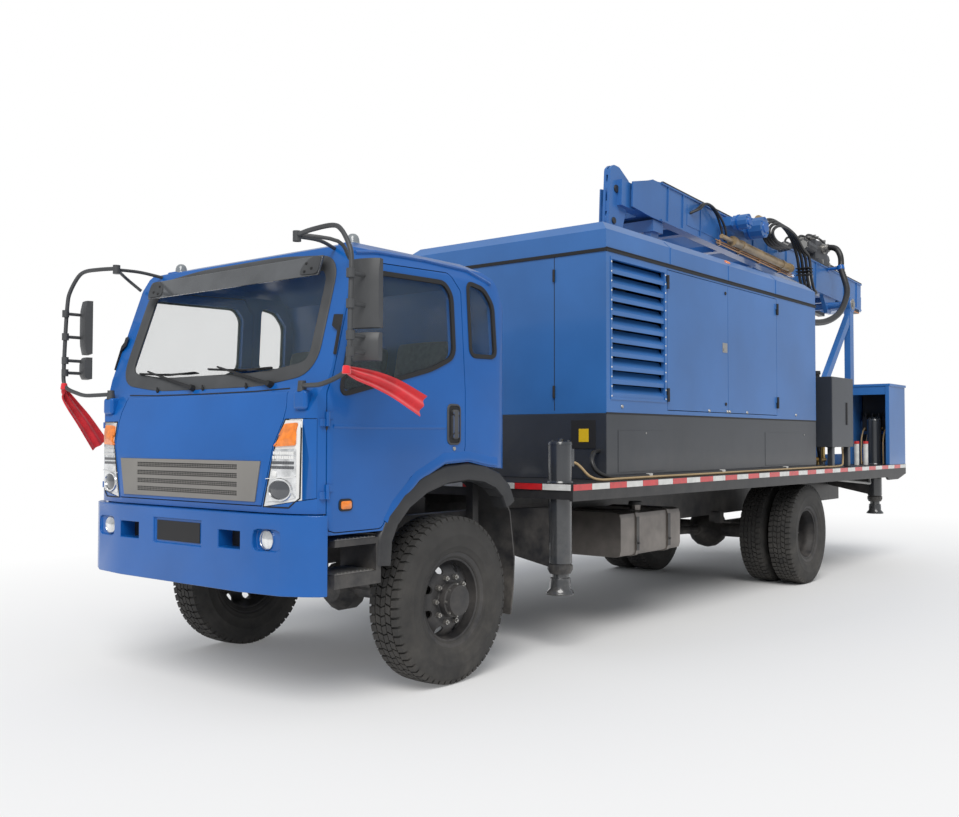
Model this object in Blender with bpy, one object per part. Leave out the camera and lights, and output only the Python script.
"""Truck-mounted water well drilling rig: chassis, cab, compressor, jacks, and a mast with its rotary head.

Metres, +Z up. The truck's own frame has +X forwards, +Y to its left, x = 0 at the front axle, y = 0 on the
centre line and z = 0 on the ground. The empty "truck" shifts it, so that the origin is at the middle of the
whole rig's box, on the ground.
"""

import math

import bmesh
import bpy
from mathutils import Matrix, Vector

# Running clearances
SEAT = 0.0004  # between pieces that rest on or are bolted to each other
RUNNING = 0.006  # between a moving piece and what it passes
PIN_PLAY = 0.001  # between a rod and the sleeve it slides in
TURN_PLAY = 0.0005  # between a pin and the bore it turns in
LAP = 0.002  # by which one welded plate stands proud of the next

# Wheels and axles
TYRE_R = 0.525
TYRE_W = 0.280
BEAD_R = 0.256
RIM_FLANGE_R = 0.292
RIM_WALL = 0.010
WHEELBASE = 5.785
FRONT_TYRE_Y = 0.995
TWIN_OUTER_Y = 1.048
TWIN_PITCH = 0.320
KINGPIN_Y = 0.880
KINGPIN_R = 0.024
HUB_R = 0.110
SPINDLE_R = 0.038
WHEEL_SIDES = 20
PIN_SIDES = 24

# Chassis
RAIL_Y = 0.430
RAIL_FLANGE = 0.080
RAIL_WALL = 0.012
RAIL_DEPTH = 0.260
RAIL_FRONT_X = 1.080
RAIL_REAR_X = -8.800

# Deck
DECK_FRONT_X = -1.124
DECK_REAR_X = -8.963
DECK_Y = 1.254
DECK_SIDE_BOTTOM = 2 * TYRE_R + 0.010
DECK_TOP = DECK_SIDE_BOTTOM + 0.153
DECK_PLATE = 0.048
RAIL_TOP = DECK_TOP - 0.213
RAIL_BOTTOM = RAIL_TOP - RAIL_DEPTH
DECK_SIDE_WALL = 0.030

# Jacks
JACK_FRONT_X = -1.240
JACK_FRONT_Y = 1.065
JACK_REAR_X = -8.470
JACK_REAR_Y = 1.010
JACK_SLEEVE_R = 0.082
JACK_LEG_R = 0.060
JACK_FRONT_TOP = 1.500
JACK_REAR_TOP = 1.780
JACK_FRONT_FOOT = 0.410
JACK_REAR_FOOT = 0.585
JACK_FOOT_R = 0.105
JACK_CAP = 0.022
JACK_SIDES = 12

# Cab
CAB_Y = 1.100
CAB_WALL = 0.045
CAB_REAR_X = -0.580
CAB_FRONT_X = 1.210
CAB_SILL = 1.000
CAB_ROOF = 2.735
TUNNEL_FRONT_X = 0.700
TUNNEL_Y = 0.325
TUNNEL_TOP = 1.475
TUNNEL_WALL = 0.016
FIREWALL_X = 0.940
GLASS_DEPTH = 0.014
GLASS_WALL = 0.008
DOOR_GAP = 0.006
BARREL_R = 0.011
BUMPER_FRONT_X = 1.262
BUMPER_BOTTOM = 0.670
BUMPER_TOP = 1.112

# Compressor
BOX_FRONT_X = -1.888
BOX_REAR_X = -6.310
BOX_Y = 1.060
BASE_TOP = DECK_TOP + 0.521
CANOPY_EAVES = BASE_TOP + 1.301
CANOPY_BREAK = CANOPY_EAVES + 0.143
CANOPY_TOP = CANOPY_BREAK + 0.080
CANOPY_CHAMFER = 0.089
CANOPY_WALL = 0.035

# Mast, in its own frame: u along it from its hinge to its crown, w square to it and upwards
MAST_HINGE_X = -8.900
MAST_HINGE_Z = DECK_TOP + 2.137
MAST_TILT = math.radians(3.0)
MAST_Y = 0.300
MAST_BOTTOM = 0.120
MAST_DEPTH = 0.396
MAST_WALL = 0.016
MAST_REAR_U = -1.250
MAST_FRONT_U = 4.760
CROWN_TIP_U = 5.595
CLAMP_REAR_U = -1.450
CLAMP_TOP = 0.360
HINGE_PIN_R = 0.050
LIFT_FOOT_X = -7.620
LIFT_FOOT_Z = DECK_TOP + 0.367
LIFT_EYE_U = 1.050
LIFT_EYE_W = 0.200
LIFT_Y = 0.392
LIFT_BARREL_R = 0.070
LIFT_ROD_R = 0.042

# The whole rig's ends, which place the origin
RIG_FRONT_X = BUMPER_FRONT_X
RIG_REAR_X = (
    MAST_HINGE_X
    + CLAMP_REAR_U * math.cos(MAST_TILT)
    - CLAMP_TOP * math.sin(MAST_TILT)
)
ORIGIN_SHIFT = -(RIG_FRONT_X + RIG_REAR_X) / 2


def clear_scene():
    for item in list(bpy.data.objects):
        bpy.data.objects.remove(item, do_unlink=True)


def paint(name, rgb, roughness, metallic=0.0):
    finish = bpy.data.materials.new(name)
    finish.use_nodes = True
    shader = finish.node_tree.nodes["Principled BSDF"]
    shader.inputs["Base Color"].default_value = (*rgb, 1)
    shader.inputs["Roughness"].default_value = roughness
    shader.inputs["Metallic"].default_value = metallic
    return finish


clear_scene()
CAB_BLUE = paint("cab_blue", (0.03, 0.13, 0.42), 0.35)
RIG_BLUE = paint("rig_blue", (0.05, 0.17, 0.40), 0.45)
CHARCOAL = paint("charcoal", (0.05, 0.055, 0.065), 0.6)
BLACK = paint("black", (0.02, 0.02, 0.022), 0.5)
RUBBER = paint("rubber", (0.025, 0.025, 0.025), 0.9)
STEEL = paint("steel", (0.35, 0.34, 0.32), 0.45, 0.9)
GLASS = paint("glass", (0.10, 0.13, 0.15), 0.1)
CHROME = paint("chrome", (0.75, 0.75, 0.75), 0.15, 1.0)
GREY = paint("grey", (0.10, 0.10, 0.11), 0.5)
TAN = paint("tan", (0.50, 0.40, 0.26), 0.5)

TRUCK = bpy.data.objects.new("truck", None)
TRUCK.location = (ORIGIN_SHIFT, 0, 0)
bpy.context.scene.collection.objects.link(TRUCK)


def span(sign, a, b):
    """Two distances from the centre line, on the side that sign gives, in rising order."""
    return sorted((sign * a, sign * b))


def shape(bm):
    """A loose mesh object, still without its name."""
    bmesh.ops.recalc_face_normals(bm, faces=bm.faces)
    mesh = bpy.data.meshes.new("shape")
    bm.to_mesh(mesh)
    bm.free()
    item = bpy.data.objects.new("shape", mesh)
    bpy.context.scene.collection.objects.link(item)
    return item


def slab(outline, axis, low, high):
    """An outline in the plane square to an axis, extruded between two levels on that axis.

    Outline points are (y, z) for axis x, (x, z) for axis y and (x, y) for axis z.
    """
    place = {
        "x": lambda a, b, level: (level, a, b),
        "y": lambda a, b, level: (a, level, b),
        "z": lambda a, b, level: (a, b, level),
    }[axis]
    bm = bmesh.new()
    face = bm.faces.new([bm.verts.new(place(a, b, low)) for a, b in outline])
    grown = bmesh.ops.extrude_face_region(bm, geom=[face])["geom"]
    moved = [v for v in grown if isinstance(v, bmesh.types.BMVert)]
    bmesh.ops.translate(bm, verts=moved, vec=Vector(place(0, 0, high - low)))
    return shape(bm)


def block(x0, x1, y0, y1, z0, z1):
    return slab([(x0, y0), (x1, y0), (x1, y1), (x0, y1)], "z", z0, z1)


def round_corners(outline, radius, steps=2):
    """The outline with an arc of the given radius at each corner."""
    points = []
    count = len(outline)
    for i, corner in enumerate(outline):
        corner = Vector(corner)
        before = Vector(outline[i - 1]) - corner
        after = Vector(outline[(i + 1) % count]) - corner
        half = before.angle(after) / 2
        size = min(radius, 0.45 * min(before.length, after.length) * math.tan(half))
        reach = size / math.tan(half)
        start = corner + before.normalized() * reach
        end = corner + after.normalized() * reach
        for k in range(steps + 1):
            t = k / steps
            points.append(tuple(start * (1 - t) ** 2 + corner * 2 * t * (1 - t) + end * t**2))
    return points


def turned(profile, centre, axis, sides):
    """A profile of (radius, distance along the axis), turned about an axis through the centre.

    A profile whose ends lie on the axis is left open there, and any other is closed.
    """
    bm = bmesh.new()
    verts = [bm.verts.new((r, 0, along)) for r, along in profile]
    edges = [bm.edges.new(pair) for pair in zip(verts, verts[1:])]
    if profile[0][0] > 0:
        edges.append(bm.edges.new((verts[-1], verts[0])))
    bmesh.ops.spin(
        bm,
        geom=verts + edges,
        axis=(0, 0, 1),
        cent=(0, 0, 0),
        angle=2 * math.pi,
        steps=sides,
        use_duplicate=False,
    )
    bmesh.ops.remove_doubles(bm, verts=bm.verts, dist=1e-5)
    turn = Vector((0, 0, 1)).rotation_difference(Vector(axis)).to_matrix().to_4x4()
    bmesh.ops.transform(bm, matrix=Matrix.Translation(centre) @ turn, verts=bm.verts)
    return shape(bm)


def rod(start, end, radius, sides=16):
    along = Vector(end) - Vector(start)
    bm = bmesh.new()
    bmesh.ops.create_cone(
        bm, cap_ends=True, segments=sides, radius1=radius, radius2=radius, depth=along.length
    )
    turn = Vector((0, 0, 1)).rotation_difference(along).to_matrix().to_4x4()
    middle = (Vector(start) + Vector(end)) / 2
    bmesh.ops.transform(bm, matrix=Matrix.Translation(middle) @ turn, verts=bm.verts)
    return shape(bm)


def beam(start, end, width, depth):
    """A rectangular bar between two points in a plane square to y, with its width across y."""
    start = Vector(start)
    end = Vector(end)
    along = (end - start).normalized()
    up = along.cross(Vector((0, 1, 0))).normalized() * depth / 2
    side = Vector((0, width / 2, 0))
    bm = bmesh.new()
    corners = (up + side, up - side, -up - side, -up + side)
    rings = [[bm.verts.new(point + c) for c in corners] for point in (start, end)]
    bm.faces.new(rings[0])
    bm.faces.new(rings[1])
    for i in range(4):
        bm.faces.new((rings[0][i - 1], rings[0][i], rings[1][i], rings[1][i - 1]))
    return shape(bm)


def pipe(points, radius, bevel_steps=2):
    """A bent pipe along points, with filled ends."""
    curve = bpy.data.curves.new("pipe", "CURVE")
    curve.dimensions = "3D"
    curve.bevel_depth = radius
    curve.bevel_resolution = bevel_steps
    curve.use_fill_caps = True
    spline = curve.splines.new("POLY")
    spline.points.add(len(points) - 1)
    for target, point in zip(spline.points, points):
        target.co = (*point, 1)
    item = bpy.data.objects.new("pipe", curve)
    bpy.context.scene.collection.objects.link(item)
    mesh = bpy.data.meshes.new_from_object(item.evaluated_get(bpy.context.evaluated_depsgraph_get()))
    bpy.data.objects.remove(item, do_unlink=True)
    bm = bmesh.new()
    bm.from_mesh(mesh)
    bmesh.ops.remove_doubles(bm, verts=bm.verts, dist=1e-5)
    return shape(bm)


def pin(start, end, radius):
    return rod(start, end, radius, PIN_SIDES)


def bore(start, end, pin_r):
    """A bore in which a pin turns freely."""
    return rod(start, end, (pin_r + TURN_PLAY) / math.cos(math.pi / PIN_SIDES), PIN_SIDES)


def mirrored(item):
    """A copy on the truck's other side."""
    bm = bmesh.new()
    bm.from_mesh(item.data)
    bmesh.ops.scale(bm, vec=(1, -1, 1), verts=bm.verts)
    return shape(bm)


def operate(item, tools, operation):
    """One exact Boolean of a solid with several tools, which it uses up."""
    group = bpy.data.collections.new("tools")
    bpy.context.scene.collection.children.link(group)
    for tool in tools:
        bpy.context.scene.collection.objects.unlink(tool)
        group.objects.link(tool)
    modifier = item.modifiers.new("join", "BOOLEAN")
    modifier.solver = "EXACT"
    modifier.operation = operation
    modifier.operand_type = "COLLECTION"
    modifier.collection = group
    mesh = bpy.data.meshes.new_from_object(item.evaluated_get(bpy.context.evaluated_depsgraph_get()))
    item.modifiers.clear()
    item.data = mesh
    for tool in tools:
        bpy.data.objects.remove(tool, do_unlink=True)
    bpy.data.collections.remove(group)
    return item


def joined(first, *others):
    return operate(first, others, "UNION")


def cut(item, *tools):
    return operate(item, tools, "DIFFERENCE")


def shared(item, tool):
    return operate(item, [tool], "INTERSECT")


def piece(name, item, finish, pivot=(0, 0, 0), parent=TRUCK, smooth=None):
    """Names a finished solid and gives it its finish, with its origin on its joint's axis."""
    item.name = name
    item.data.name = name
    item.data.materials.clear()
    item.data.materials.append(finish)
    item.data.transform(Matrix.Translation(-Vector(pivot)))
    item.location = pivot
    item.parent = parent
    if smooth:
        item.data.shade_smooth()
        item.data.set_sharp_from_angle(angle=math.radians(smooth))
    return item


# Wheels. Tyre profile columns: radius, distance from the tyre's middle plane.
BEAD_HALF = 0.36 * TYRE_W
FLANGE_THICK = 0.010
TYRE_PROFILE = [
    (BEAD_R, -BEAD_HALF),
    (RIM_FLANGE_R + 0.003, -BEAD_HALF - 0.002),
    (RIM_FLANGE_R + 0.020, -0.45 * TYRE_W),
    (0.400, -0.50 * TYRE_W),
    (0.495, -0.42 * TYRE_W),
    (TYRE_R, -0.33 * TYRE_W),
]
TYRE_LOOP = TYRE_PROFILE + [(r, -y) for r, y in reversed(TYRE_PROFILE)]
RIM_SEAT_R = BEAD_R - SEAT
RIM_INSIDE_R = RIM_SEAT_R - RIM_WALL
FLANGE_IN = BEAD_HALF + 0.004
FLANGE_OUT = FLANGE_IN + FLANGE_THICK


def rim_groove(y):
    """One tyre's seat between its two flanges, from the inner side to the outer."""
    return [
        (RIM_FLANGE_R, y - FLANGE_OUT),
        (RIM_SEAT_R, y - FLANGE_IN),
        (RIM_SEAT_R, y + FLANGE_IN),
        (RIM_FLANGE_R, y + FLANGE_OUT),
    ]


def hub_and_disc(outer_face, back, nose, disc_edge):
    """The hub's bore side and the disc's back face, then the disc's front face and the hub's nose."""
    behind = [
        (0, nose - 0.040),
        (SPINDLE_R + PIN_PLAY, nose - 0.040),
        (SPINDLE_R + PIN_PLAY, back),
        (HUB_R, back),
        (HUB_R, outer_face - 0.016),
        (0.165, outer_face - 0.016),
        (RIM_INSIDE_R, disc_edge - 0.016),
    ]
    front = [
        (RIM_INSIDE_R, disc_edge),
        (0.165, outer_face),
        (HUB_R, outer_face + 0.002),
        (0.100, nose - 0.030),
        (0.062, nose),
        (0, nose),
    ]
    return behind, front


def hand_holes(item, y, circle_r, hole_r, count):
    holes = []
    for i in range(count):
        angle = 2 * math.pi * (i + 0.5) / count
        x = circle_r * math.cos(angle)
        z = circle_r * math.sin(angle)
        holes.append(rod((x, y - 0.1, z), (x, y + 0.1, z), hole_r, 6))
    return cut(item, *holes)


def side_turn(centre, sign):
    """Places a wheel that was made for the left side, turned round for the right one."""
    return Matrix.Translation(centre) @ Matrix.Rotation(0 if sign > 0 else math.pi, 4, "Z")


for side, sign in (("left", 1), ("right", -1)):
    centre = (0, sign * FRONT_TYRE_Y, TYRE_R)
    piece(
        f"tyre_front_{side}",
        turned(TYRE_LOOP, centre, (0, 1, 0), WHEEL_SIDES),
        RUBBER,
        centre,
        smooth=40,
    )
    behind, front = hub_and_disc(outer_face=0.075, back=0.015, nose=0.175, disc_edge=0.025)
    rim_loop = behind + [(RIM_INSIDE_R, -FLANGE_OUT)] + rim_groove(0) + [(RIM_INSIDE_R, FLANGE_OUT)] + front
    front_rim = hand_holes(turned(rim_loop, (0, 0, 0), (0, 1, 0), WHEEL_SIDES), 0.045, 0.196, 0.026, 8)
    front_rim.data.transform(side_turn(centre, sign))
    piece(f"rim_front_{side}", front_rim, BLACK, centre, smooth=30)

    for place, y in (("outer", TWIN_OUTER_Y), ("inner", TWIN_OUTER_Y - TWIN_PITCH)):
        centre = (-WHEELBASE, sign * y, TYRE_R)
        piece(
            f"tyre_rear_{side}_{place}",
            turned(TYRE_LOOP, centre, (0, 1, 0), WHEEL_SIDES),
            RUBBER,
            centre,
            smooth=40,
        )
    half_pitch = TWIN_PITCH / 2
    centre = (-WHEELBASE, sign * (TWIN_OUTER_Y - half_pitch), TYRE_R)
    behind, front = hub_and_disc(outer_face=0.010, back=-0.080, nose=0.130, disc_edge=0.060)
    rim_loop = behind + [(RIM_INSIDE_R, -half_pitch - FLANGE_OUT)] + rim_groove(-half_pitch)
    rim_loop += [(RIM_SEAT_R, -half_pitch + FLANGE_OUT), (RIM_SEAT_R, half_pitch - FLANGE_OUT)]
    rim_loop += rim_groove(half_pitch) + [(RIM_INSIDE_R, half_pitch + FLANGE_OUT)] + front
    twin = turned(rim_loop, (0, 0, 0), (0, 1, 0), WHEEL_SIDES)
    twin.data.transform(side_turn(centre, sign))
    piece(f"rim_rear_{side}", twin, BLACK, centre, smooth=30)

    # Steering knuckle: a block on the kingpin, the spindle and the brake drum's back plate
    knuckle = joined(
        rod((0, sign * KINGPIN_Y, TYRE_R - 0.090), (0, sign * KINGPIN_Y, TYRE_R + 0.090), 0.055, 12),
        pin((0, sign * KINGPIN_Y, TYRE_R - 0.145), (0, sign * KINGPIN_Y, TYRE_R + 0.145), KINGPIN_R),
        rod((0, sign * KINGPIN_Y, TYRE_R), (0, sign * (FRONT_TYRE_Y + 0.130), TYRE_R), SPINDLE_R, 12),
        rod((0, sign * (KINGPIN_Y + 0.062), TYRE_R), (0, sign * (KINGPIN_Y + 0.090), TYRE_R), 0.150, 16),
        block(-0.14, 0.0, *span(sign, KINGPIN_Y - 0.02, KINGPIN_Y + 0.02), TYRE_R - 0.07, TYRE_R - 0.04),
    )
    piece(f"knuckle_{side}", knuckle, BLACK, (0, sign * KINGPIN_Y, TYRE_R))


def leaf_spring(x, y, reach, z_low, width):
    """Leaves of falling length, and the clamp over them."""
    leaves = [
        block(
            x - reach * s,
            x + reach * s,
            y - width / 2,
            y + width / 2,
            z_low - 0.016 * i - 0.001,
            z_low + 0.016 - 0.016 * i,
        )
        for i, s in enumerate((1.0, 0.72, 0.42))
    ]
    return leaves


# Front axle: a beam with a fork at each kingpin, and its two leaf springs
SPRING_TOP = 0.668
fork = []
for sign in (1, -1):
    y = sign * KINGPIN_Y
    for low, high in ((0.100, 0.135), (-0.135, -0.100)):
        fork.append(rod((0, y, TYRE_R + low), (0, y, TYRE_R + high), 0.050, 12))
        fork.append(block(-0.05, 0.05, *sorted((y, sign * 0.760)), TYRE_R + low, TYRE_R + high))
    fork.append(block(-0.055, 0.055, *span(sign, 0.700, 0.775), TYRE_R - 0.135, TYRE_R + 0.135))
    fork.append(block(-0.07, 0.07, *span(sign, 0.345, 0.435), TYRE_R + 0.02, SPRING_TOP - 0.03))
    fork += leaf_spring(0, sign * 0.390, 0.72, SPRING_TOP - 0.016, 0.080)
front_axle = joined(
    rod((0, -0.72, TYRE_R), (0, 0.72, TYRE_R), 0.062, 12),
    turned(
        [(0, -0.14), (0.10, -0.13), (0.165, -0.05), (0.165, 0.05), (0.10, 0.13), (0, 0.14)],
        (0, 0.12, TYRE_R),
        (1, 0, 0),
        14,
    ),
    *fork,
)
kingpin_bores = [
    bore((0, s * KINGPIN_Y, TYRE_R - 0.2), (0, s * KINGPIN_Y, TYRE_R + 0.2), KINGPIN_R)
    for s in (1, -1)
]
piece("front_axle", cut(front_axle, *kingpin_bores), BLACK)

# Rear axle: housing, differential and springs
rear = []
for sign in (1, -1):
    y_in = sign * (TWIN_OUTER_Y - TWIN_PITCH / 2)
    rear.append(
        rod((-WHEELBASE, sign * 0.50, TYRE_R), (-WHEELBASE, y_in + sign * 0.080, TYRE_R), SPINDLE_R, 12)
    )
    rear.append(
        block(
            -WHEELBASE - 0.06,
            -WHEELBASE + 0.06,
            *span(sign, 0.440, 0.520),
            TYRE_R + 0.02,
            SPRING_TOP - 0.03,
        ),
    )
    rear += leaf_spring(-WHEELBASE, sign * 0.480, 0.75, SPRING_TOP - 0.016, 0.080)
rear_axle = joined(
    rod((-WHEELBASE, -0.56, TYRE_R), (-WHEELBASE, 0.56, TYRE_R), 0.085, 14),
    turned(
        [
            (0, -0.22),
            (0.12, -0.20),
            (0.20, -0.09),
            (0.215, 0.0),
            (0.20, 0.09),
            (0.10, 0.24),
            (0.06, 0.30),
            (0, 0.30),
        ],
        (-WHEELBASE, 0, TYRE_R),
        (1, 0, 0),
        14,
    ),
    *rear,
)
piece("rear_axle", rear_axle, BLACK)

# Chassis frame: two channels, cross members, spring brackets and the jacks' frames with their sleeves
frame = []
for sign in (1, -1):
    web = sign * RAIL_Y
    inner = sign * (RAIL_Y - RAIL_FLANGE)
    thin = sign * (RAIL_Y - RAIL_WALL)
    channel = [
        (web, RAIL_BOTTOM),
        (web, RAIL_TOP),
        (inner, RAIL_TOP),
        (inner, RAIL_TOP - RAIL_WALL),
        (thin, RAIL_TOP - RAIL_WALL),
        (thin, RAIL_BOTTOM + RAIL_WALL),
        (inner, RAIL_BOTTOM + RAIL_WALL),
        (inner, RAIL_BOTTOM),
    ]
    frame.append(slab(channel, "x", RAIL_REAR_X, RAIL_FRONT_X))
    for x in (-0.72, 0.72):
        frame.append(
            block(x - 0.05, x + 0.05, *span(sign, 0.345, 0.435), SPRING_TOP + SEAT, RAIL_BOTTOM + 0.02)
        )
    for x in (-WHEELBASE - 0.74, -WHEELBASE + 0.74):
        frame.append(
            block(x - 0.05, x + 0.05, *span(sign, 0.400, 0.520), SPRING_TOP + SEAT, RAIL_BOTTOM + 0.03)
        )
for x in (0.98, -0.86, -3.20, -4.60, -6.80, -8.70):
    frame.append(
        block(x - 0.05, x + 0.05, -RAIL_Y + 0.006, RAIL_Y - 0.006, RAIL_BOTTOM + 0.04, RAIL_TOP - 0.04)
    )

# Jacks. Columns: name, x, y, sleeve's bottom, sleeve's top, foot's bottom
JACKS = [
    (f"{end}_{side}", x, sign * y, bottom, top, foot)
    for end, x, y, bottom, top, foot in (
        ("front", JACK_FRONT_X, JACK_FRONT_Y, 0.560, JACK_FRONT_TOP, JACK_FRONT_FOOT),
        ("rear", JACK_REAR_X, JACK_REAR_Y, 0.740, JACK_REAR_TOP, JACK_REAR_FOOT),
    )
    for side, sign in (("left", 1), ("right", -1))
]
bores = []
for name, x, y, bottom, top, foot in JACKS:
    outside = [
        (0, bottom),
        (JACK_SLEEVE_R - 0.006, bottom),
        (JACK_SLEEVE_R + 0.010, bottom + 0.030),
        (JACK_SLEEVE_R + 0.010, bottom + 0.060),
        (JACK_SLEEVE_R, bottom + 0.070),
        (JACK_SLEEVE_R, top - 0.014),
        (JACK_SLEEVE_R - 0.010, top),
        (0, top),
    ]
    frame.append(turned(outside, (x, y, 0), (0, 0, 1), JACK_SIDES))
    bores.append(rod((x, y, bottom - 0.10), (x, y, top - JACK_CAP), JACK_LEG_R + PIN_PLAY, JACK_SIDES))
    low = 0.600 if name.startswith("front") else 0.820
    outer_low = (y, low)
    inner_low = (math.copysign(RAIL_Y - 0.005, y), low + 0.120)
    inner_high = (inner_low[0], RAIL_TOP - 0.004)
    outer_high = (y, 1.040)
    for face in (-0.070, 0.055):
        frame.append(slab([inner_low, outer_low, outer_high, inner_high], "x", x + face, x + face + 0.015))
    raised = [(a, z + 0.014) for a, z in (outer_low, inner_low)]
    frame.append(slab([inner_low, outer_low, *raised], "x", x - 0.070, x + 0.070))
piece("chassis_frame", cut(joined(*frame), *bores), BLACK)

for name, x, y, bottom, top, foot in JACKS:
    leg_top = top - JACK_CAP - 0.040
    leg = turned(
        [
            (0, foot),
            (JACK_FOOT_R, foot),
            (JACK_FOOT_R, foot + 0.012),
            (0.076, foot + 0.045),
            (0.074, foot + 0.120),
            (JACK_LEG_R, foot + 0.122),
            (JACK_LEG_R, leg_top),
            (0, leg_top),
        ],
        (x, y, 0),
        (0, 0, 1),
        JACK_SIDES,
    )
    piece(f"jack_leg_{name}", leg, CHARCOAL, (x, y, foot))

# Deck: a plate with channel sides and the sills that sit on the rails
side_outline = [
    (DECK_FRONT_X, DECK_SIDE_BOTTOM + 0.030),
    (DECK_FRONT_X, DECK_TOP - LAP),
    (DECK_REAR_X, DECK_TOP - LAP),
    (DECK_REAR_X, DECK_SIDE_BOTTOM + 0.030),
    (DECK_REAR_X + 0.330, DECK_SIDE_BOTTOM - 0.035),
    (DECK_REAR_X + 0.700, DECK_SIDE_BOTTOM - 0.035),
    (DECK_REAR_X + 0.760, DECK_SIDE_BOTTOM),
    (DECK_FRONT_X - 0.300, DECK_SIDE_BOTTOM + 0.030),
]
deck_parts = [
    block(
        DECK_REAR_X + LAP,
        DECK_FRONT_X - LAP,
        -DECK_Y + LAP,
        DECK_Y - LAP,
        DECK_TOP - DECK_PLATE,
        DECK_TOP,
    )
]
for sign in (1, -1):
    deck_parts.append(slab(side_outline, "y", *span(sign, DECK_Y, DECK_Y - DECK_SIDE_WALL)))
    deck_parts.append(
        block(
            DECK_REAR_X + 0.15,
            DECK_FRONT_X - 0.02,
            *span(sign, 0.330, 0.430),
            RAIL_TOP + SEAT,
            DECK_TOP - 0.02,
        )
    )
for x in (DECK_FRONT_X - 0.025, DECK_REAR_X + 0.025):
    deck_parts.append(
        block(
            x - 0.018,
            x + 0.018,
            -DECK_Y + 0.01,
            DECK_Y - 0.01,
            DECK_SIDE_BOTTOM + 0.040,
            DECK_TOP - 0.01,
        ),
    )
for i in range(5):
    x = DECK_FRONT_X - 1.10 - i * 1.45
    deck_parts.append(
        block(x - 0.03, x + 0.03, -DECK_Y + 0.02, DECK_Y - 0.02, DECK_SIDE_BOTTOM + 0.050, DECK_TOP - 0.02),
    )
holes = [
    rod((x, y, DECK_SIDE_BOTTOM - 0.1), (x, y, DECK_TOP + 0.1), JACK_SLEEVE_R + SEAT, JACK_SIDES)
    for name, x, y, *heights in JACKS
]
piece("deck", cut(joined(*deck_parts), *holes), BLACK)

# Bumper with its lamp and tow openings. Plan columns: x, y
bumper_plan = [
    (BUMPER_FRONT_X, 0.0),
    (BUMPER_FRONT_X, 0.60),
    (BUMPER_FRONT_X - 0.035, 0.90),
    (BUMPER_FRONT_X - 0.100, 1.03),
    (BUMPER_FRONT_X - 0.150, 1.095),
    (BUMPER_FRONT_X - 0.190, 1.115),
    (BUMPER_FRONT_X - 0.190, 1.080),
    (BUMPER_FRONT_X - 0.120, 0.98),
    (BUMPER_FRONT_X - 0.110, 0.60),
    (BUMPER_FRONT_X - 0.110, 0.0),
]
bumper_loop = bumper_plan + [(x, -y) for x, y in reversed(bumper_plan[1:-1])]
bumper = slab(bumper_loop, "z", BUMPER_BOTTOM, BUMPER_TOP)
for sign in (1, -1):
    hole = [(sign * 0.40, 0.91), (sign * 0.60, 0.91), (sign * 0.60, 1.01), (sign * 0.40, 1.01)]
    cut(bumper, slab(hole, "x", 1.00, 1.40))
    lamp = [(sign * 0.69, 0.91), (sign * 0.90, 0.91), (sign * 0.90, 1.03), (sign * 0.69, 1.03)]
    cut(bumper, slab(round_corners(lamp, 0.04), "x", 1.215, 1.40))
plate_recess = [(-0.24, 0.90), (0.24, 0.90), (0.24, 1.05), (-0.24, 1.05)]
cut(bumper, slab(plate_recess, "x", BUMPER_FRONT_X - 0.014, 1.40))
brackets = [
    block(RAIL_FRONT_X + SEAT, BUMPER_FRONT_X - 0.05, *span(s, 0.36, RAIL_Y), 0.78, 0.89)
    for s in (1, -1)
]
piece("bumper", joined(bumper, *brackets), CAB_BLUE)


# Cab: one closed form, from which the shell, doors, panes and flap are all cut
CAB_SIDE = [
    (1.055, CAB_SILL),
    (1.055, BUMPER_TOP + DOOR_GAP),
    (1.200, BUMPER_TOP + DOOR_GAP),
    (CAB_FRONT_X, 1.420),
    (1.100, 1.780),
    (1.058, 1.845),
    (0.795, 2.660),
    (0.620, 2.715),
    (0.200, CAB_ROOF),
    (-0.220, 2.715),
    (-0.480, 2.600),
    (-0.560, 2.400),
    (CAB_REAR_X, 1.900),
    (CAB_REAR_X, 1.330),
    (-0.350, 1.350),
    (-0.150, 1.385),
    (0.080, 1.375),
    (0.330, 1.270),
    (0.520, 1.110),
    (0.600, CAB_SILL),
]
CAB_PLAN = [
    (CAB_FRONT_X, 0.35),
    (1.200, 0.70),
    (1.165, 0.95),
    (1.105, 1.060),
    (1.020, CAB_Y),
    (-0.460, CAB_Y),
    (-0.560, 1.060),
    (CAB_REAR_X, 0.97),
]
CAB_SECTION = [
    (CAB_Y, CAB_SILL - 0.1),
    (CAB_Y, 1.830),
    (1.055, 2.560),
    (1.010, 2.640),
    (0.920, 2.690),
    (0.500, CAB_ROOF + 0.002),
]


def inset(outline, distance):
    """The outline moved inwards by a distance; the outline runs either way round."""
    area = sum(a[0] * b[1] - b[0] * a[1] for a, b in zip(outline, outline[1:] + outline[:1]))
    inwards = 1 if area > 0 else -1
    moved = []
    count = len(outline)
    for i in range(count):
        a, b, c = (Vector(outline[k % count]) for k in (i - 1, i, i + 1))
        first = (b - a).normalized()
        second = (c - b).normalized()
        n1 = Vector((-first.y, first.x)) * inwards
        n2 = Vector((-second.y, second.x)) * inwards
        both = (n1 + n2).normalized()
        moved.append(tuple(b + both * distance / max(both.dot(n1), 0.4)))
    return moved


def cab_form(depth):
    """The cab's closed form, moved inwards by a depth."""
    plan = CAB_PLAN + [(x, -y) for x, y in reversed(CAB_PLAN)]
    section = CAB_SECTION + [(-y, z) for y, z in reversed(CAB_SECTION)]
    form = slab(inset(CAB_SIDE, depth), "y", -1.3, 1.3)
    shared(form, slab(inset(plan, depth), "z", 0.5, 3.0))
    return shared(form, slab(inset(section, depth), "x", -1.0, 1.6))


def cab_wall(outer, inner):
    return cut(cab_form(outer), cab_form(inner))


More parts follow.
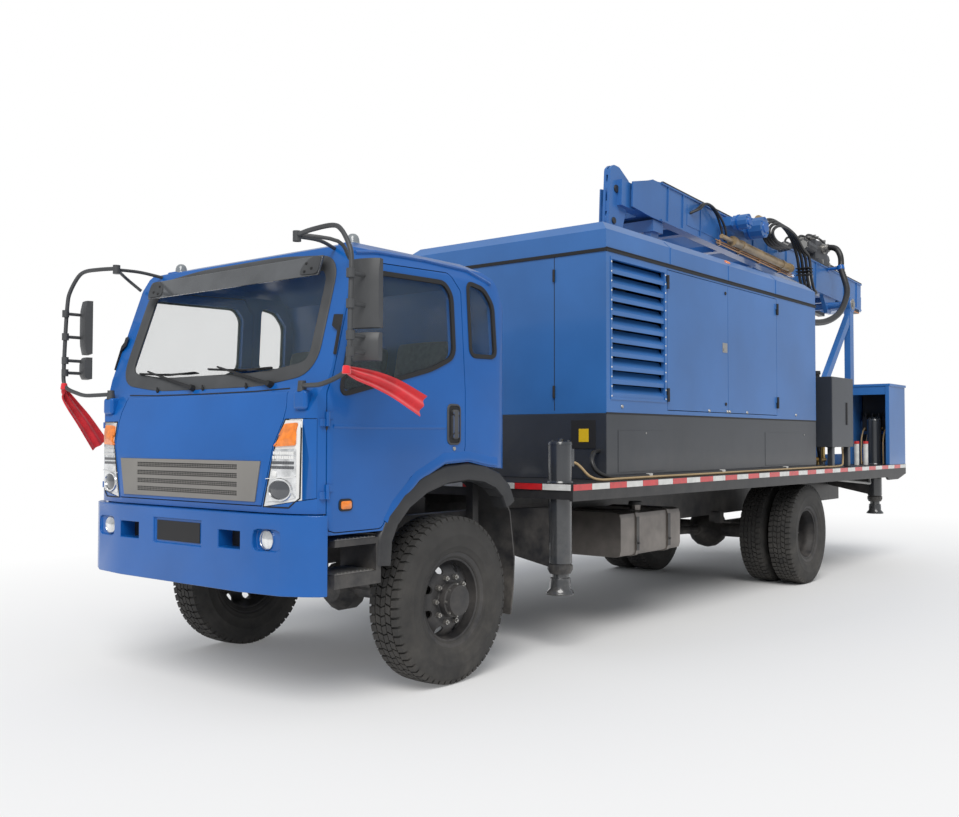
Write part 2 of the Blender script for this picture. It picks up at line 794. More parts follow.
DOOR_OUTLINE = [
    (1.060, 1.010),
    (1.060, 1.785),
    (0.812, 2.560),
    (-0.010, 2.590),
    (-0.120, 2.480),
    (-0.120, 1.435),
    (0.110, 1.420),
    (0.390, 1.300),
    (0.570, 1.120),
    (0.640, 1.010),
]
WINDOW_OUTLINE = [
    (0.975, 1.775), (0.770, 2.500), (0.045, 2.515), (-0.020, 2.440), (-0.020, 2.050), (0.200, 1.960)
]
QUARTER_OUTLINE = [(-0.190, 2.070), (-0.190, 2.545), (-0.350, 2.520), (-0.440, 2.420), (-0.445, 2.075)]
LAMP_TOP = 1.640
LAMP_BOTTOM = 1.150

door_hole = round_corners(DOOR_OUTLINE, 0.05)
window_hole = round_corners(WINDOW_OUTLINE, 0.06)
quarter_hole = round_corners(QUARTER_OUTLINE, 0.04)
screen_hole = round_corners(
    [
        (0.93, 1.93),
        (0.895, 2.56),
        (0.40, 2.605),
        (-0.40, 2.605),
        (-0.895, 2.56),
        (-0.93, 1.93),
        (-0.50, 1.875),
        (0.50, 1.875),
    ],
    0.06,
)
FLAP_TOP = 1.800
FLAP_HALF = [(0.708, 1.150), (0.826, 1.635), (0.826, 1.700), (0.800, FLAP_TOP)]
flap_hole = FLAP_HALF + [(-y, z) for y, z in reversed(FLAP_HALF)]


def side_cutter(outline, sign, shrink=0.0):
    """A prism through one side wall of the cab."""
    points = inset(outline, shrink) if shrink else outline
    return slab(points, "y", *span(sign, 0.940, 1.30))


def sides_form(depth):
    """The cab's section alone, moved inwards by a depth, over its whole length."""
    section = CAB_SECTION + [(-y, z) for y, z in reversed(CAB_SECTION)]
    return slab(inset(section, depth), "x", -1.0, 1.6)


def door_cutter(sign, depth, shrink=0.0):
    """The door's prism through the side wall alone, down to a depth below its skin."""
    return cut(side_cutter(door_hole, sign, shrink), sides_form(depth))


def front_cutter(outline, shrink=0.0, back=0.45):
    points = inset(outline, shrink) if shrink else outline
    return slab(points, "x", back, 1.40)


def lamp_cutter(sign, shrink=0.0):
    corner = [
        (sign * (0.722 + shrink), LAMP_BOTTOM + shrink),
        (sign * 1.060, 1.205 + shrink),
        (sign * 1.060, LAMP_TOP - shrink),
        (sign * (0.842 + shrink), LAMP_TOP - shrink),
    ]
    return slab(corner, "x", 1.105 + shrink, 1.40)


shell = cab_wall(0, CAB_WALL)
for sign in (1, -1):
    cut(
        shell,
        door_cutter(sign, CAB_WALL + RUNNING),
        side_cutter(quarter_hole, sign),
        lamp_cutter(sign, -DOOR_GAP / 2),
    )
cut(shell, front_cutter(screen_hole, 0, 0.5), front_cutter(flap_hole, 0, 0.95))


def tunnel_block(grow, bottom):
    """The space over the engine, grown by part of its wall's thickness."""
    side = TUNNEL_Y + grow
    return block(CAB_REAR_X + 0.030 - grow, TUNNEL_FRONT_X + grow, -side, side, bottom, TUNNEL_TOP + grow)


cut(shell, tunnel_block(TUNNEL_WALL / 2, 0.90))
tunnel = shared(cut(tunnel_block(TUNNEL_WALL, 0.90), tunnel_block(0, 0.80)), cab_form(0.004))
firewall = shared(block(FIREWALL_X, FIREWALL_X + 0.020, -1.045, 1.045, 0.90, 1.800), cab_form(0.010))
HINGE_X = 1.060
HINGE_Y = CAB_Y - 0.004
CAB_HINGE_HEIGHTS = (1.240, 1.640)
CAB_HINGE_HALF = 0.040


def cab_hinge_half(sign, upper):
    """One half of both hinges of a cab door: the upper one is the door's, the lower one the shell's."""
    halves = []
    for z in CAB_HINGE_HEIGHTS:
        low, high = (z + SEAT, z + CAB_HINGE_HALF) if upper else (z - CAB_HINGE_HALF, z)
        axis = [(HINGE_X, sign * HINGE_Y, level) for level in (low, high)]
        halves.append(rod(*axis, BARREL_R, 8))
        if upper:
            leaf = (HINGE_X - 0.040, HINGE_X - 0.0035, *span(sign, HINGE_Y - 0.026, HINGE_Y + 0.005))
        else:
            leaf = (HINGE_X + 0.0035, HINGE_X + 0.036, *span(sign, HINGE_Y - 0.046, HINGE_Y - 0.004))
        halves.append(block(*leaf, low, high))
    return halves


shell_hinges = cab_hinge_half(1, False) + cab_hinge_half(-1, False)
piece("cab_shell", joined(shell, tunnel, firewall, *shell_hinges), CAB_BLUE)

for side, sign in (("left", 1), ("right", -1)):
    door = shared(cab_form(0), door_cutter(sign, CAB_WALL, DOOR_GAP))
    cut(door, side_cutter(window_hole, sign))
    handle = block(-0.030, 0.020, *span(sign, CAB_Y - 0.02, CAB_Y + 0.022), 1.540, 1.700)
    piece(f"door_{side}", joined(door, handle, *cab_hinge_half(sign, True)), CAB_BLUE, (HINGE_X, sign * HINGE_Y, 1.5))
    pane = shared(cab_wall(GLASS_DEPTH, GLASS_DEPTH + GLASS_WALL), side_cutter(window_hole, sign, SEAT))
    piece(f"door_glass_{side}", pane, GLASS, (HINGE_X, sign * HINGE_Y, 1.5))
    quarter = shared(cab_wall(GLASS_DEPTH, GLASS_DEPTH + GLASS_WALL), side_cutter(quarter_hole, sign, SEAT))
    piece(f"quarter_glass_{side}", quarter, GLASS)
    lamp = shared(cut(cab_form(0), block(0.0, 1.06, -1.2, 1.2, 0.9, 2.0)), lamp_cutter(sign, SEAT))
    piece(f"headlamp_{side}", lamp, CHROME)

screen = shared(cab_wall(GLASS_DEPTH, GLASS_DEPTH + GLASS_WALL), front_cutter(screen_hole, SEAT, 0.5))
piece("windscreen", screen, GLASS)
flap_edge = [(y, FLAP_TOP - SEAT if z > FLAP_TOP - 0.02 else z) for y, z in inset(flap_hole, DOOR_GAP)]
flap = shared(cab_wall(0, 0.030), front_cutter(flap_edge, 0, 0.98))
FLAP_HINGE = (1.089, 0, FLAP_TOP)
GRILLE_OUTLINE = [(0.655, 1.175), (0.700, 1.405), (-0.700, 1.405), (-0.655, 1.175)]
grille_band = slab(GRILLE_OUTLINE, "x", 1.10, 1.30)
grille_bed = shared(cab_wall(-0.020, 0.012), grille_band)
cut(flap, grille_bed)
piece("front_flap", flap, CAB_BLUE, FLAP_HINGE)
grille_face = slab(inset(GRILLE_OUTLINE, SEAT), "x", 1.10, 1.30)
grille = shared(cab_wall(-0.006, 0.012 - SEAT), grille_face)
GRILLE_SLOTS = 4
for i in range(GRILLE_SLOTS):
    z = 1.205 + i * 0.050
    cut(grille, block(1.207, 1.30, -0.50, 0.50, z, z + 0.028))
piece("grille", grille, GREY, FLAP_HINGE)

# Dashboard with the steering column and wheel
DASH_X = FIREWALL_X - SEAT
wheel_rim = turned(
    [(0.205 + 0.013 * math.cos(a), 0.013 * math.sin(a)) for a in [k * math.pi / 3 for k in range(6)]],
    (0.56, 0.52, 1.83),
    (-0.45, 0, 0.89),
    14,
)
dash = joined(
    slab([(0.66, 1.50), (0.62, 1.78), (0.70, 1.83), (DASH_X, 1.79), (DASH_X, 1.510)], "y", -1.04, 1.04),
    rod((0.75, 0.52, 1.45), (0.56, 0.52, 1.83), 0.025, 10),
    rod((0.56, 0.31, 1.83), (0.56, 0.73, 1.83), 0.010, 6),
    wheel_rim,
)
piece("dashboard", dash, GREY)

# Seats: the driver's and the passengers' cushions on one frame over the tunnel
seat_parts = [block(-0.30, 0.10, -0.95, 0.95, TUNNEL_TOP + TUNNEL_WALL + SEAT, 1.555)]
for y0, y1 in ((0.28, 0.78), (-0.86, 0.16)):
    seat_parts.append(
        slab(
            round_corners([(-0.30, 1.540), (0.22, 1.540), (0.22, 1.68), (-0.30, 1.64)], 0.03, 2),
            "y",
            y0,
            y1,
        ),
    )
    seat_parts.append(
        slab(
            round_corners([(-0.24, 1.60), (-0.36, 2.22), (-0.46, 2.22), (-0.36, 1.58)], 0.03, 2),
            "y",
            y0,
            y1,
        ),
    )
piece("seats", joined(*seat_parts), GREY)

# Mirrors: a tube from the roof to the cowl, with the heads on it. Route columns: x, y, z
MIRROR_ROUTE = [
    (0.600, 0.830, 2.660),
    (0.760, 0.850, 2.676),
    (1.137, 0.900, 2.668),
    (1.160, 1.200, 2.672),
    (1.180, 1.340, 2.650),
    (1.196, 1.410, 2.540),
    (1.200, 1.418, 2.280),
    (1.208, 1.420, 1.980),
    (1.212, 1.410, 1.900),
    (1.200, 1.330, 1.850),
    (1.188, 1.170, 1.822),
    (1.137, 0.980, 1.826),
    (0.985, 0.955, 1.826),
]
for side, sign in (("left", 1), ("right", -1)):
    arm = joined(
        pipe(MIRROR_ROUTE, 0.014, 1),
        slab(
            round_corners([(1.205, 2.120), (1.205, 2.500), (1.020, 2.500), (1.020, 2.120)], 0.03),
            "y",
            1.405,
            1.465,
        ),
        slab(
            round_corners([(1.210, 1.950), (1.210, 2.085), (1.020, 2.085), (1.020, 1.950)], 0.03),
            "y",
            1.405,
            1.465,
        ),
    )
    cut(arm, cab_form(-SEAT))
    if sign < 0:
        twin = mirrored(arm)
        bpy.data.objects.remove(arm, do_unlink=True)
        arm = twin
    piece(f"mirror_{side}", arm, GREY, smooth=40)

# Sun visor: an upright strip before the screen's top, on four stays
VISOR_Y = 0.854
VISOR_SECTION = [(0.868, 2.597), (0.884, 2.597), (0.922, 2.477), (0.906, 2.477)]
visor = slab(VISOR_SECTION, "y", -VISOR_Y, VISOR_Y)
stays = [beam((0.885, y, 2.570), (0.740, y, 2.600), 0.030, 0.016) for y in (-0.75, -0.26, 0.26, 0.75)]
piece("sun_visor", cut(joined(visor, *stays), cab_form(-SEAT)), GREY)

# Mudguards: the arch liner over each front wheel, its rear flap, and the step ahead of it
ARCH_ROUTE = [
    (0.590, 0.975),
    (0.500, 1.090),
    (0.315, 1.245),
    (0.070, 1.348),
    (-0.150, 1.358),
    (-0.350, 1.322),
    (-0.530, 1.210),
    (-0.650, 1.040),
    (-0.700, 0.720),
    (-0.690, 0.520),
    (-0.660, 0.340),
]


def strip(route, thickness):
    """The outline of a sheet that follows a route of (x, z), with its thickness on the route's left."""
    inner = []
    for i, point in enumerate(route):
        before = Vector(point) - Vector(route[max(i - 1, 0)])
        after = Vector(route[min(i + 1, len(route) - 1)]) - Vector(point)
        along = (before.normalized() + after.normalized()).normalized()
        inner.append(tuple(Vector(point) + Vector((-along.y, along.x)) * thickness))
    return list(route) + inner[::-1]


for side, sign in (("left", 1), ("right", -1)):
    liner = slab(strip(ARCH_ROUTE, 0.012), "y", *span(sign, 0.780, 1.060))
    bracket = block(-0.50, -0.44, *span(sign, RAIL_Y + SEAT, 0.90), RAIL_TOP - 0.06, RAIL_TOP - 0.02)
    post = block(-0.50, -0.44, *span(sign, 0.84, 0.90), RAIL_TOP - 0.05, 1.26)
    step = slab(
        [
            (0.640, 0.700),
            (0.640, 0.965),
            (1.000, 0.965),
            (1.005, 0.930),
            (0.680, 0.930),
            (0.680, 0.775),
            (1.005, 0.775),
            (1.005, 0.700),
        ],
        "y",
        *span(sign, 0.800, 1.095),
    )
    step_bracket = block(0.70, 0.76, *span(sign, RAIL_Y + SEAT, 0.86), RAIL_TOP - 0.10, RAIL_TOP - 0.06)
    strut = beam((0.660, sign * 0.82, 0.950), (0.570, sign * 0.82, 0.985), 0.036, 0.016)
    piece(f"mudguard_{side}", joined(liner, bracket, post, strut, step, step_bracket), BLACK)

# Fuel tank on the left and battery box on the right
TANK_STRAPS_X = (-2.28, -2.80)
TANK_BOTTOM = RAIL_BOTTOM - 0.140
TANK_TOP = RAIL_TOP - 0.050
tank_section = round_corners(
    [(0.500, TANK_BOTTOM), (0.500, TANK_TOP), (1.100, TANK_TOP), (1.100, TANK_BOTTOM)],
    0.05,
)
tank = joined(
    slab(tank_section, "x", -3.010, -2.030),
    rod((-2.46, 0.98, TANK_TOP - 0.02), (-2.46, 0.98, TANK_TOP + 0.045), 0.045, 12),
    *[slab(inset(tank_section, -0.008), "x", x - 0.018, x + 0.018) for x in TANK_STRAPS_X],
    *[
        block(x - 0.03, x + 0.03, RAIL_Y + SEAT, 0.53, TANK_BOTTOM + 0.06, TANK_TOP - 0.05)
        for x in TANK_STRAPS_X
    ],
)
piece("fuel_tank", tank, STEEL)
BOXES_BOTTOM = RAIL_BOTTOM - 0.100
battery = joined(
    block(-2.62, -2.00, -1.08, -0.60, BOXES_BOTTOM, RAIL_TOP - 0.040),
    block(-3.30, -2.75, -0.98, -0.60, BOXES_BOTTOM, RAIL_TOP - 0.100),
    block(-3.20, -2.10, -0.62, -RAIL_Y - SEAT, RAIL_BOTTOM + 0.020, RAIL_BOTTOM + 0.080),
)
piece("battery_box", battery, BLACK)

# Engine, gearbox and propeller shafts between the rails
MOUNT_Y = RAIL_Y - RAIL_WALL - SEAT
drive = joined(
    block(-0.50, 0.66, -0.28, 0.28, 0.780, 1.290),
    block(-0.74, -0.45, -0.20, 0.20, 0.690, 1.100),
    block(0.10, 0.22, -MOUNT_Y, MOUNT_Y, 0.850, 0.920),
    rod((-0.70, 0, 0.730), (-1.60, 0, 0.670), 0.038, 12),
    block(-2.05, -1.55, -0.16, 0.16, 0.600, 0.900),
    rod((-2.00, 0, 0.640), (-WHEELBASE + 0.304, 0, 0.530), 0.045, 12),
    rod((-1.60, 0.12, 0.640), (-0.144, 0.12, 0.530), 0.035, 12),
)
piece("engine", drive, BLACK)

# Compressor: base, canopy with its doors, and the machine inside
piece("compressor_base", block(BOX_REAR_X, BOX_FRONT_X, -BOX_Y, BOX_Y, DECK_TOP + SEAT, BASE_TOP), CHARCOAL)


def canopy_form(depth, bottom):
    top = CANOPY_TOP - depth
    side = BOX_Y - depth
    section = [
        (side, bottom),
        (side, CANOPY_EAVES),
        (side, CANOPY_BREAK),
        (side - CANOPY_CHAMFER, top),
        (-side + CANOPY_CHAMFER, top),
        (-side, CANOPY_BREAK),
        (-side, CANOPY_EAVES),
        (-side, bottom),
    ]
    profile = [
        (BOX_FRONT_X - depth, bottom),
        (BOX_FRONT_X - depth, CANOPY_BREAK),
        (BOX_FRONT_X - depth - CANOPY_CHAMFER, top),
        (BOX_REAR_X + depth + CANOPY_CHAMFER, top),
        (BOX_REAR_X + depth, CANOPY_BREAK),
        (BOX_REAR_X + depth, bottom),
    ]
    form = slab(section, "x", BOX_REAR_X - 0.1, BOX_FRONT_X + 0.1)
    return shared(form, slab(profile, "y", -1.3, 1.3))


DOOR_LOW = BASE_TOP + 0.041
DOOR_HIGH = CANOPY_EAVES - 0.050
DOOR1_FRONT_X = -2.872
DOOR_MEET_X = -4.065
DOOR2_REAR_X = -5.222
LOUVRE_FRONT_X = -1.968
LOUVRE_REAR_X = -2.826
LOUVRE_LOW = BASE_TOP + 0.126
LOUVRE_HIGH = CANOPY_EAVES - 0.085
LOUVRE_COUNT = 10
HINGE_HALF = 0.055
HINGE_HEIGHTS = (DOOR_LOW + 0.132, DOOR_HIGH - 0.111)
CANOPY_HINGE_Y = BOX_Y + BARREL_R + SEAT


def hinge_half(x, sign, leaf, upper):
    """One half of both butt hinges at x, with its leaf towards -x or +x (leaf is -1 or 1)."""
    halves = []
    for z in HINGE_HEIGHTS:
        low, high = (z + SEAT, z + HINGE_HALF) if upper else (z - HINGE_HALF, z)
        halves.append(rod((x, sign * CANOPY_HINGE_Y, low), (x, sign * CANOPY_HINGE_Y, high), BARREL_R, 8))
        leaf_y = sorted((sign * (BOX_Y - 0.002), sign * (BOX_Y + 0.005)))
        halves.append(block(*sorted((x + leaf * 0.005, x + leaf * 0.050)), *leaf_y, low, high))
    return halves


canopy = cut(canopy_form(0, BASE_TOP + SEAT), canopy_form(CANOPY_WALL, BASE_TOP - 0.1))
slats = []
for sign in (1, -1):
    y_range = sorted((sign * (BOX_Y - 0.10), sign * (BOX_Y + 0.10)))
    cut(canopy, block(DOOR2_REAR_X, DOOR1_FRONT_X, *y_range, DOOR_LOW, DOOR_HIGH))
    cut(canopy, block(LOUVRE_REAR_X, LOUVRE_FRONT_X, *y_range, LOUVRE_LOW, LOUVRE_HIGH))
    pitch = (LOUVRE_HIGH - LOUVRE_LOW) / LOUVRE_COUNT
    for i in range(LOUVRE_COUNT):
        z = LOUVRE_LOW + i * pitch
        outside = sign * (BOX_Y - 0.002)
        inside = sign * (BOX_Y - CANOPY_WALL - 0.030)
        slat = [
            (outside, z - 0.004),
            (outside, z + 0.030),
            (inside, z + pitch * 0.95),
            (inside, z + pitch * 0.95 - 0.012),
            (outside - sign * 0.010, z + 0.020),
        ]
        slats.append(slab(slat, "x", LOUVRE_REAR_X - 0.012, LOUVRE_FRONT_X + 0.012))
posts = []
HINGE1_X = DOOR1_FRONT_X - DOOR_GAP / 2
HINGE2_X = DOOR2_REAR_X + DOOR_GAP / 2
for sign in (1, -1):
    posts += hinge_half(HINGE1_X, sign, 1, False) + hinge_half(HINGE2_X, sign, -1, False)
    posts.append(block(-4.22, -4.06, *span(sign, 0.16, 0.24), CANOPY_TOP - 0.01, MAST_HINGE_Z + 0.27))


def mast_underside(x):
    return MAST_HINGE_Z + (x - MAST_HINGE_X) * math.tan(MAST_TILT) + MAST_BOTTOM / math.cos(MAST_TILT)


SADDLE_REAR_X = -4.24
SADDLE_FRONT_X = -4.04
SADDLE_BOTTOM = mast_underside(SADDLE_REAR_X) - 0.110
saddle_section = [
    (SADDLE_REAR_X, SADDLE_BOTTOM),
    (SADDLE_FRONT_X, SADDLE_BOTTOM),
    (SADDLE_FRONT_X, mast_underside(SADDLE_FRONT_X) - RUNNING),
    (SADDLE_REAR_X, mast_underside(SADDLE_REAR_X) - RUNNING),
]
saddle = slab(saddle_section, "y", -0.28, 0.28)
piece("compressor_canopy", joined(canopy, *slats, *posts, saddle), RIG_BLUE)

for side, sign in (("left", 1), ("right", -1)):
    y_range = sorted((sign * (BOX_Y - CANOPY_WALL), sign * BOX_Y))
    low = DOOR_LOW + DOOR_GAP
    high = DOOR_HIGH - DOOR_GAP
    front_door = block(DOOR_MEET_X + DOOR_GAP / 2, DOOR1_FRONT_X - DOOR_GAP, *y_range, low, high)
    front_door = joined(front_door, *hinge_half(HINGE1_X, sign, -1, True))
    piece(f"canopy_door_front_{side}", front_door, RIG_BLUE, (HINGE1_X, sign * CANOPY_HINGE_Y, 2.4))
    rear_door = block(DOOR2_REAR_X + DOOR_GAP, DOOR_MEET_X - DOOR_GAP / 2, *y_range, low, high)
    rear_door = joined(rear_door, *hinge_half(HINGE2_X, sign, 1, True))
    piece(f"canopy_door_rear_{side}", rear_door, RIG_BLUE, (HINGE2_X, sign * CANOPY_HINGE_Y, 2.4))

unit = joined(
    block(-5.60, -2.50, -0.62, 0.62, BASE_TOP + SEAT, 1.80),
    block(-4.10, -2.70, -0.46, 0.46, 1.79, 2.62),
    block(-2.62, -2.45, -0.80, 0.80, 1.79, 2.90),
    rod((-4.15, 0, 2.15), (-4.75, 0, 2.15), 0.30, 16),
    rod((-5.15, 0.25, 1.79), (-5.15, 0.25, 2.75), 0.28, 16),
    rod((-4.70, 0.0, 2.15), (-5.10, 0.20, 2.15), 0.09, 12),
)
piece("compressor_unit", unit, CHARCOAL)

# Oil tank and control cabinet at the rear
tank_box = joined(
    block(-7.270, -6.570, 0.620, 1.150, DECK_TOP + 0.230, DECK_TOP + 1.032),
    *[
        block(x - 0.04, x + 0.04, y - 0.03, y + 0.03, DECK_TOP + SEAT, DECK_TOP + 0.237)
        for x in (-6.66, -7.18) for y in (0.80, 1.10)
    ],
)
piece("oil_tank", tank_box, CHARCOAL)

cab_x0, cab_x1, cab_y0, cab_y1, cab_top = -8.960, -8.310, 0.720, 1.250, DECK_TOP + 1.017
cabinet = block(cab_x0, cab_x1, cab_y0, cab_y1, DECK_TOP + SEAT, cab_top)
cut(cabinet, block(cab_x0 + 0.03, cab_x1 - 0.03, cab_y0 + 0.03, cab_y1 - 0.03, 1.10, cab_top - 0.03))
cut(cabinet, block(cab_x1 - 0.1, cab_x1 + 0.1, cab_y0 + 0.06, cab_y1 - 0.05, 1.10, cab_top - 0.13))
valves = block(-8.90, -8.76, cab_y0 + 0.02, cab_y1 - 0.02, 1.60, 1.78)
levers = [rod((-8.83, y, 1.76), (-8.80, y, 2.00), 0.010, 8) for y in (0.82, 0.90, 0.98, 1.06, 1.14)]
piece("control_cabinet", joined(cabinet, valves, *levers), RIG_BLUE)

# Mast pedestal: two A-frames on the deck, the hinge shaft between their heads and the lift cylinders' feet
PEDESTAL_Y = 0.560
pedestal = []
for sign in (1, -1):
    y = sign * PEDESTAL_Y
    pedestal += [
        block(-8.955, -6.900, y - 0.05, y + 0.05, DECK_TOP + SEAT, 1.340),
        block(-8.950, -8.815, y - 0.04, y + 0.04, 1.30, MAST_HINGE_Z),
        rod((MAST_HINGE_X, y - 0.045, MAST_HINGE_Z), (MAST_HINGE_X, y + 0.045, MAST_HINGE_Z), 0.110, 14),
        beam((-8.87, y, 3.20), (-6.98, y, 1.30), 0.07, 0.10),
        block(LIFT_FOOT_X - 0.09, LIFT_FOOT_X + 0.09, *span(sign, 0.512, 0.560), 1.30, LIFT_FOOT_Z),
        rod((LIFT_FOOT_X, sign * 0.510, LIFT_FOOT_Z), (LIFT_FOOT_X, sign * 0.562, LIFT_FOOT_Z), 0.095, 12),
    ]
pedestal.append(pin((MAST_HINGE_X, -0.60, MAST_HINGE_Z), (MAST_HINGE_X, 0.60, MAST_HINGE_Z), HINGE_PIN_R))
pedestal.append(block(-8.945, -8.860, -0.56, 0.56, 2.10, 2.26))
for x in (-8.90, -7.00):
    pedestal.append(block(x - 0.05, x + 0.05, -0.56, 0.56, DECK_TOP + SEAT + LAP, 1.330))
pedestal = joined(*pedestal)
FOOT_PIN_R = 0.040
cut(pedestal, bore((LIFT_FOOT_X, -0.7, LIFT_FOOT_Z), (LIFT_FOOT_X, 0.7, LIFT_FOOT_Z), FOOT_PIN_R))
piece("mast_pedestal", pedestal, RIG_BLUE)

# Lift cylinders, between their feet on the pedestal and their eyes on the mast
foot_point = Vector((LIFT_FOOT_X, 0, LIFT_FOOT_Z))
eye_point = Vector(
    (
        MAST_HINGE_X + LIFT_EYE_U * math.cos(MAST_TILT) - LIFT_EYE_W * math.sin(MAST_TILT),
        0,
        MAST_HINGE_Z + LIFT_EYE_U * math.sin(MAST_TILT) + LIFT_EYE_W * math.cos(MAST_TILT),
    )
)
lift_axis = (eye_point - foot_point).normalized()
lift_length = (eye_point - foot_point).length
BARREL_SHARE = 0.84
barrels = [pin(foot_point + Vector((0, -0.60, 0)), foot_point + Vector((0, 0.60, 0)), FOOT_PIN_R)]
gland = foot_point + lift_axis * lift_length * BARREL_SHARE
for sign in (1, -1):
    across = Vector((0, sign * LIFT_Y, 0))
    bottom_end = foot_point + lift_axis * 0.06
    barrels.append(rod(bottom_end + across, gland + across, LIFT_BARREL_R, 14))
    barrels.append(
        rod(
            foot_point + across - Vector((0, 0.05, 0)),
            foot_point + across + Vector((0, 0.05, 0)),
            0.085,
            12,
        ),
    )
    barrels.append(rod(gland + across - lift_axis * 0.08, gland + across, LIFT_BARREL_R + 0.012, 14))
barrels = joined(*barrels)
for sign in (1, -1):
    across = Vector((0, sign * LIFT_Y, 0))
    cut(
        barrels,
        rod(
            foot_point + lift_axis * 0.25 + across,
            gland + lift_axis * 0.10 + across,
            LIFT_ROD_R + PIN_PLAY,
            12,
        ),
    )
piece("lift_barrels", barrels, RIG_BLUE, foot_point)
for side, sign in (("left", 1), ("right", -1)):
    across = Vector((0, sign * LIFT_Y, 0))
    ram = joined(
        rod(foot_point + lift_axis * 0.30 + across, eye_point + across - lift_axis * 0.02, LIFT_ROD_R, 12),
        rod(
            eye_point + across - Vector((0, 0.038, 0)),
            eye_point + across + Vector((0, 0.038, 0)),
            0.080,
            14,
        ),
    )
    piece(f"lift_rod_{side}", ram, CHROME, eye_point)

# Mast, modelled in its own frame about its hinge and tilted by its parent
MAST = bpy.data.objects.new("mast_frame", None)
MAST.parent = TRUCK
MAST.location = (MAST_HINGE_X, 0, MAST_HINGE_Z)
MAST.rotation_euler = (0, -MAST_TILT, 0)
bpy.context.scene.collection.objects.link(MAST)
MAST_TOP = MAST_BOTTOM + MAST_DEPTH
side_plate = [
    (MAST_REAR_U, MAST_BOTTOM + LAP),
    (MAST_REAR_U, MAST_TOP - LAP),
    (MAST_FRONT_U, MAST_TOP - LAP),
    (MAST_FRONT_U + 0.20, MAST_TOP - 0.03),
    (MAST_FRONT_U + 0.55, MAST_TOP - 0.13),
    (MAST_FRONT_U + 0.55, MAST_BOTTOM + 0.02),
    (MAST_FRONT_U + 0.20, MAST_BOTTOM),
]
crown_plate = [
    (CROWN_TIP_U - 0.225, -0.170),
    (CROWN_TIP_U - 0.347, 0.206),
    (CROWN_TIP_U - 0.377, 0.407),
    (CROWN_TIP_U - 0.170, 0.508),
    (CROWN_TIP_U - 0.070, 0.508),
    (CROWN_TIP_U - 0.010, 0.460),
    (CROWN_TIP_U, -0.170),
]
right_plate = [*side_plate[:4], (MAST_FRONT_U + 0.20, MAST_BOTTOM)]
mast_parts = []
for sign, plate in ((1, side_plate), (-1, right_plate)):
    mast_parts.append(slab(plate, "y", *span(sign, MAST_Y, MAST_Y - MAST_WALL)))
    flange = sorted((sign * (MAST_Y - 0.10), sign * (MAST_Y + 0.015)))
    for low in (MAST_BOTTOM, MAST_TOP - 0.02):
        mast_parts.append(block(MAST_REAR_U + LAP, MAST_FRONT_U - LAP, *flange, low, low + 0.02))
    hinge_lug = [
        (-0.25, MAST_BOTTOM + 0.01),
        (0.25, MAST_BOTTOM + 0.01),
        (0.09, -0.06),
        (0.05, -0.10),
        (-0.05, -0.10),
        (-0.09, -0.06),
    ]
    mast_parts.append(slab(hinge_lug, "y", *span(sign, 0.24, 0.29)))
    eye_lug = [
        (LIFT_EYE_U - 0.12, LIFT_EYE_W - 0.09),
        (LIFT_EYE_U + 0.12, LIFT_EYE_W - 0.09),
        (LIFT_EYE_U + 0.12, LIFT_EYE_W + 0.12),
        (LIFT_EYE_U - 0.12, LIFT_EYE_W + 0.12),
    ]
    mast_parts.append(slab(round_corners(eye_lug, 0.04, 2), "y", *span(sign, MAST_Y - 0.01, 0.346)))
for u in (-1.10, -0.40, 0.50, 1.40, 2.30, 3.20, 4.10, 4.70):
    mast_parts.append(
        block(u - 0.05, u + 0.05, -MAST_Y + 0.005, MAST_Y - 0.005, MAST_BOTTOM + 0.005, MAST_BOTTOM + 0.08),
    )
mast_parts.append(block(4.55, 4.92, -0.29, 0.29, MAST_BOTTOM + 0.03, MAST_BOTTOM + 0.20))
mast_parts.append(block(4.90, 5.28, 0.12, 0.29, MAST_BOTTOM + 0.03, MAST_BOTTOM + 0.20))
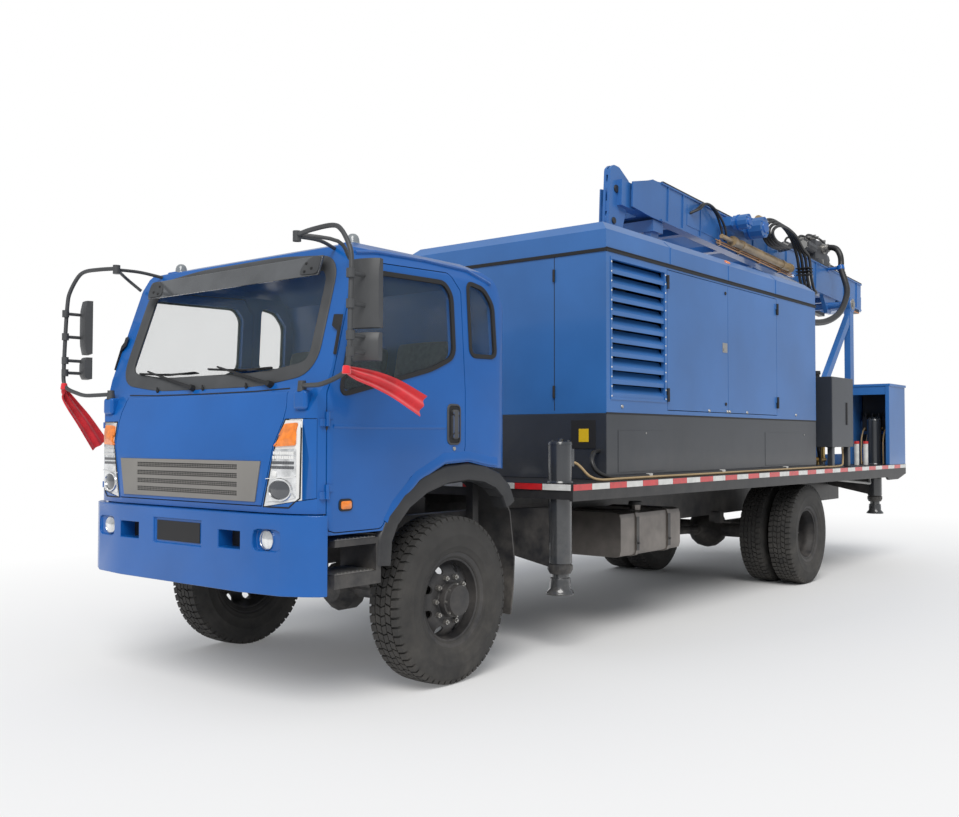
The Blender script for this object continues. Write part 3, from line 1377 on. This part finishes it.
# Crown: two plates close together on the left, with the sheaves between them and straps across their front edges
for low, high in ((0.140, 0.165), (0.185, 0.210)):
    mast_parts.append(slab(round_corners(crown_plate, 0.05, 2), "y", low, high))
mast_parts.append(block(5.20, 5.45, 0.15, 0.26, 0.13, 0.38))
for w, radius in ((0.285, 0.115), (-0.030, 0.085)):
    u = CROWN_TIP_U - radius - 0.006
    mast_parts.append(rod((u, 0.15, w), (u, 0.20, w), radius, 16))
for low, high in ((-0.168, -0.090), (0.050, 0.150), (0.400, 0.455)):
    mast_parts.append(block(CROWN_TIP_U - 0.035, CROWN_TIP_U - 0.012, 0.15, 0.20, low, high))
mast_parts.append(block(CLAMP_REAR_U, MAST_REAR_U + 0.02, -0.24, 0.24, MAST_BOTTOM + 0.02, CLAMP_TOP))
winch_parts = [
    block(2.75, 3.40, MAST_Y - 0.008, 0.42, 0.36, 0.46),
    rod((2.95, 0.41, 0.41), (2.95, 0.62, 0.41), 0.12, 12),
    rod((3.28, 0.41, 0.41), (3.28, 0.58, 0.41), 0.085, 12),
]
mast = joined(*mast_parts, *winch_parts)
cut(mast, bore((0, -0.5, 0), (0, 0.5, 0), HINGE_PIN_R))
piece("mast", mast, RIG_BLUE, parent=MAST)

# Feed cylinder on the mast's left side, on three clips
FEED_W = 0.220
FEED_Y = MAST_Y + 0.070
feed = joined(
    rod((1.60, FEED_Y, FEED_W), (3.25, FEED_Y, FEED_W), 0.050, 12),
    rod((3.20, FEED_Y, FEED_W), (3.52, FEED_Y, FEED_W), 0.026, 10),
    *[
        block(u - 0.03, u + 0.03, MAST_Y + SEAT, FEED_Y + 0.02, FEED_W - 0.03, FEED_W + 0.03)
        for u in (1.85, 3.00)
    ],
)
piece("feed_cylinder", feed, TAN, parent=MAST)

# Rotary head on the mast's rails
HEAD_U = 0.05
head = joined(
    block(HEAD_U - 0.34, HEAD_U + 0.34, -0.28, 0.28, MAST_TOP + PIN_PLAY, MAST_TOP + 0.075),
    block(HEAD_U - 0.20, HEAD_U + 0.24, -0.20, 0.20, MAST_TOP + 0.070, MAST_TOP + 0.360),
    rod((HEAD_U - 0.50, 0, MAST_TOP + 0.22), (HEAD_U + 0.30, 0, MAST_TOP + 0.22), 0.13, 14),
    rod((HEAD_U + 0.20, 0.13, MAST_TOP + 0.24), (HEAD_U + 0.50, 0.13, MAST_TOP + 0.24), 0.085, 12),
    rod((HEAD_U + 0.20, -0.13, MAST_TOP + 0.24), (HEAD_U + 0.50, -0.13, MAST_TOP + 0.24), 0.085, 12),
    rod((HEAD_U - 0.05, 0, MAST_TOP + 0.34), (HEAD_U - 0.05, 0, MAST_TOP + 0.45), 0.09, 12),
)
piece("rotary_head", head, GREY, parent=MAST)
